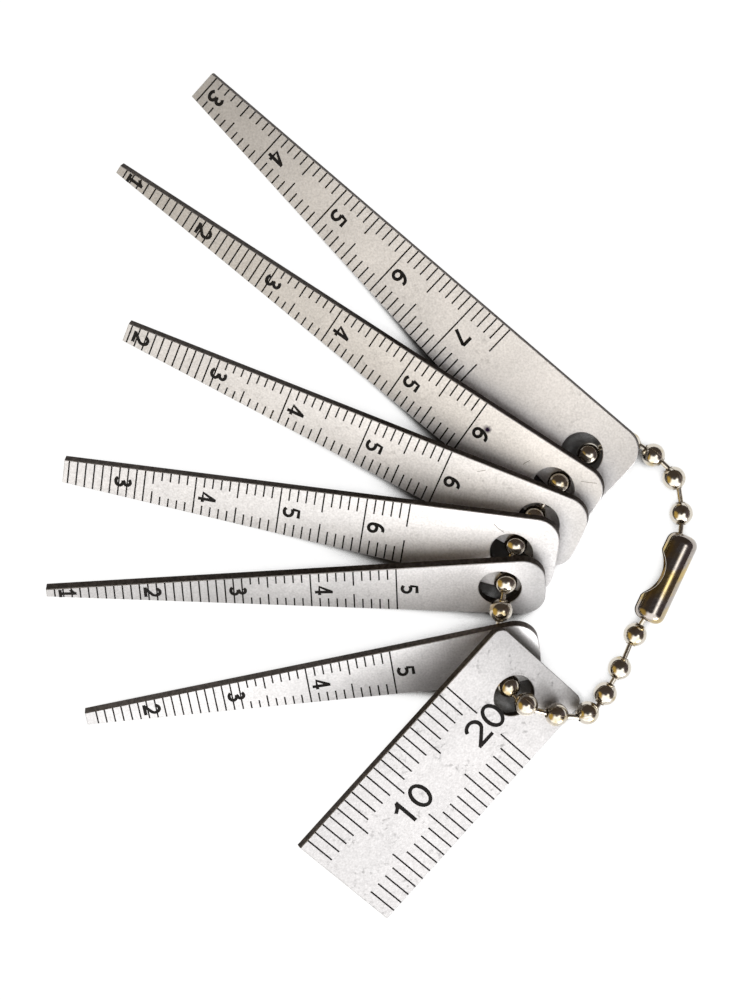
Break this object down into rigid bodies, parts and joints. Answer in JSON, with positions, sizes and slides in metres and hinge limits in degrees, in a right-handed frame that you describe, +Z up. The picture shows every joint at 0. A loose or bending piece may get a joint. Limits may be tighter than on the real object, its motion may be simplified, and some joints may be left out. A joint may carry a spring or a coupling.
{
  "type": "gap gauge",
  "caption": "Fan of taper blades for slot and hole widths with a small depth rule, strung on a ball chain.",
  "frame": {"origin": "the point on the surface below the middle of the whole set", "axes": "+Z up from the surface the set lies on, +Y away from the loose end of the small rule towards the tip of the widest blade, +X from the blade tips towards the chain connector"},
  "size_m": [0.0608, 0.0792, 0.006],
  "materials": {
    "satin_steel": "satin, fine blasted",
    "nickel_plate": "bright nickel plate"
  },
  "bodies": {
    "strung_chain": {"bead_05": "nickel_plate", "bead_06": "nickel_plate", "bead_07": "nickel_plate", "bead_08": "nickel_plate", "bead_09": "nickel_plate", "bead_10": "nickel_plate", "bead_11": "nickel_plate", "bead_12": "nickel_plate", "bead_13": "nickel_plate", "bead_14": "nickel_plate", "bead_15": "nickel_plate", "bead_16": "nickel_plate", "link_05": "nickel_plate", "link_06": "nickel_plate", "link_07": "nickel_plate", "link_08": "nickel_plate", "link_09": "nickel_plate", "link_10": "nickel_plate", "link_11": "nickel_plate", "link_12": "nickel_plate", "link_13": "nickel_plate", "link_14": "nickel_plate", "link_15": "nickel_plate"},
    "blade_3_to_7p5": {"blade_3_to_7p5": "satin_steel"},
    "blade_1_to_6": {"blade_1_to_6": "satin_steel"},
    "blade_2_to_6": {"blade_2_to_6": "satin_steel"},
    "blade_2p5_to_6p5": {"blade_2p5_to_6p5": "satin_steel"},
    "blade_1_to_5": {"blade_1_to_5": "satin_steel"},
    "blade_1p5_to_5": {"blade_1p5_to_5": "satin_steel"},
    "small_rule": {"small_rule": "satin_steel"},
    "chain_step_04": {"link_04": "nickel_plate", "bead_04": "nickel_plate"},
    "chain_step_03": {"link_03": "nickel_plate", "bead_03": "nickel_plate"},
    "chain_step_02": {"link_02": "nickel_plate", "bead_02": "nickel_plate"},
    "chain_step_01": {"link_01": "nickel_plate", "bead_01": "nickel_plate"},
    "chain_step_17": {"link_16": "nickel_plate", "bead_17": "nickel_plate"},
    "chain_step_18": {"link_17": "nickel_plate", "bead_18": "nickel_plate"},
    "chain_step_19": {"link_18": "nickel_plate", "bead_19": "nickel_plate"},
    "chain_step_20": {"link_19": "nickel_plate", "bead_20": "nickel_plate"},
    "chain_connector": {"chain_connector": "nickel_plate"}
  },
  "joints": [
    {"name": "blade_3_to_7p5_swivel", "type": "hinge", "parent": "strung_chain", "child": "blade_3_to_7p5", "pos_m": [0.01978, 0.0041, 0.00124], "axis": [0.2037, 0.1857, -0.9613], "range_deg": [0, 95]},
    {"name": "blade_1_to_6_swivel", "type": "hinge", "parent": "strung_chain", "child": "blade_1_to_6", "pos_m": [0.01719, 0.00105, 0.00158], "axis": [0.2838, 0.3443, -0.8949], "range_deg": [0, 95]},
    {"name": "blade_2_to_6_swivel", "type": "hinge", "parent": "strung_chain", "child": "blade_2_to_6", "pos_m": [0.01572, -0.0021, 0.00172], "axis": [0.2271, 0.4283, -0.8746], "range_deg": [0, 90]},
    {"name": "blade_2p5_to_6p5_swivel", "type": "hinge", "parent": "strung_chain", "child": "blade_2p5_to_6p5", "pos_m": [0.01313, -0.00486, 0.0019], "axis": [0.1159, 0.4864, -0.866], "range_deg": [0, 90]},
    {"name": "blade_1_to_5_swivel", "type": "hinge", "parent": "strung_chain", "child": "blade_1_to_5", "pos_m": [0.01199, -0.00803, 0.00191], "axis": [0.0228, 0.6289, -0.7771], "range_deg": [0, 80]},
    {"name": "blade_1p5_to_5_swivel", "type": "hinge", "parent": "strung_chain", "child": "blade_1p5_to_5", "pos_m": [0.01149, -0.01456, 0.00161], "axis": [-0.0523, 0.5273, -0.848], "range_deg": [0, 70]},
    {"name": "small_rule_swivel", "type": "hinge", "parent": "strung_chain", "child": "small_rule", "pos_m": [0.01297, -0.01827, 0.0026], "axis": [-0.3253, 0.2939, -0.8988], "range_deg": [0, 15]},
    {"name": "link_04_swivel", "type": "hinge", "parent": "strung_chain", "child": "chain_step_04", "pos_m": [0.02506, 0.00478, 0.00107], "axis": [0, 0, 1], "range_deg": [-3.16, 3.16]},
    {"name": "link_03_swivel", "type": "hinge", "parent": "chain_step_04", "child": "chain_step_03", "pos_m": [0.02713, 0.00322, 0.00111], "axis": [0, 0, 1], "range_deg": [-4.79, 4.79]},
    {"name": "link_02_swivel", "type": "hinge", "parent": "chain_step_03", "child": "chain_step_02", "pos_m": [0.02874, 0.0008, 0.00109], "axis": [0, 0, 1], "range_deg": [-20.3, 20.3]},
    {"name": "link_01_swivel", "type": "hinge", "parent": "chain_step_02", "child": "chain_step_01", "pos_m": [0.02899, -0.00259, 0.00115], "axis": [0, 0, 1], "range_deg": [-7.69, 7.69]},
    {"name": "link_16_swivel", "type": "hinge", "parent": "strung_chain", "child": "chain_step_17", "pos_m": [0.02099, -0.01985, 0.00138], "axis": [0, 0, 1], "range_deg": [-7.5, 2.5]},
    {"name": "link_17_swivel", "type": "hinge", "parent": "chain_step_17", "child": "chain_step_18", "pos_m": [0.02238, -0.01768, 0.00101], "axis": [0, 0, 1], "range_deg": [-6.65, 6.65]},
    {"name": "link_18_swivel", "type": "hinge", "parent": "chain_step_18", "child": "chain_step_19", "pos_m": [0.02365, -0.01523, 0.00112], "axis": [0, 0, 1], "range_deg": [-3.09, 3.09]},
    {"name": "link_19_swivel", "type": "hinge", "parent": "chain_step_19", "child": "chain_step_20", "pos_m": [0.02511, -0.01211, 0.00115], "axis": [0, 0, 1], "range_deg": [-3.12, 3.12]},
    {"name": "connector_swivel", "type": "hinge", "parent": "chain_step_20", "child": "chain_connector", "pos_m": [0.02626, -0.01027, 0.0015], "axis": [0, 0, 1], "range_deg": [-3.09, 3.09]}
  ],
  "couplings": [
    {"joint": "link_04_swivel", "follows": "link_16_swivel", "ratio": 0.30746},
    {"joint": "link_03_swivel", "follows": "link_16_swivel", "ratio": 0.46835},
    {"joint": "link_02_swivel", "follows": "link_16_swivel", "ratio": -2},
    {"joint": "link_01_swivel", "follows": "link_16_swivel", "ratio": 0.75419},
    {"joint": "link_17_swivel", "follows": "link_16_swivel", "ratio": -0.65204},
    {"joint": "link_18_swivel", "follows": "link_16_swivel", "ratio": -0.3},
    {"joint": "link_19_swivel", "follows": "link_16_swivel", "ratio": -0.30331},
    {"joint": "connector_swivel", "follows": "link_16_swivel", "ratio": 0.3}
  ]
}
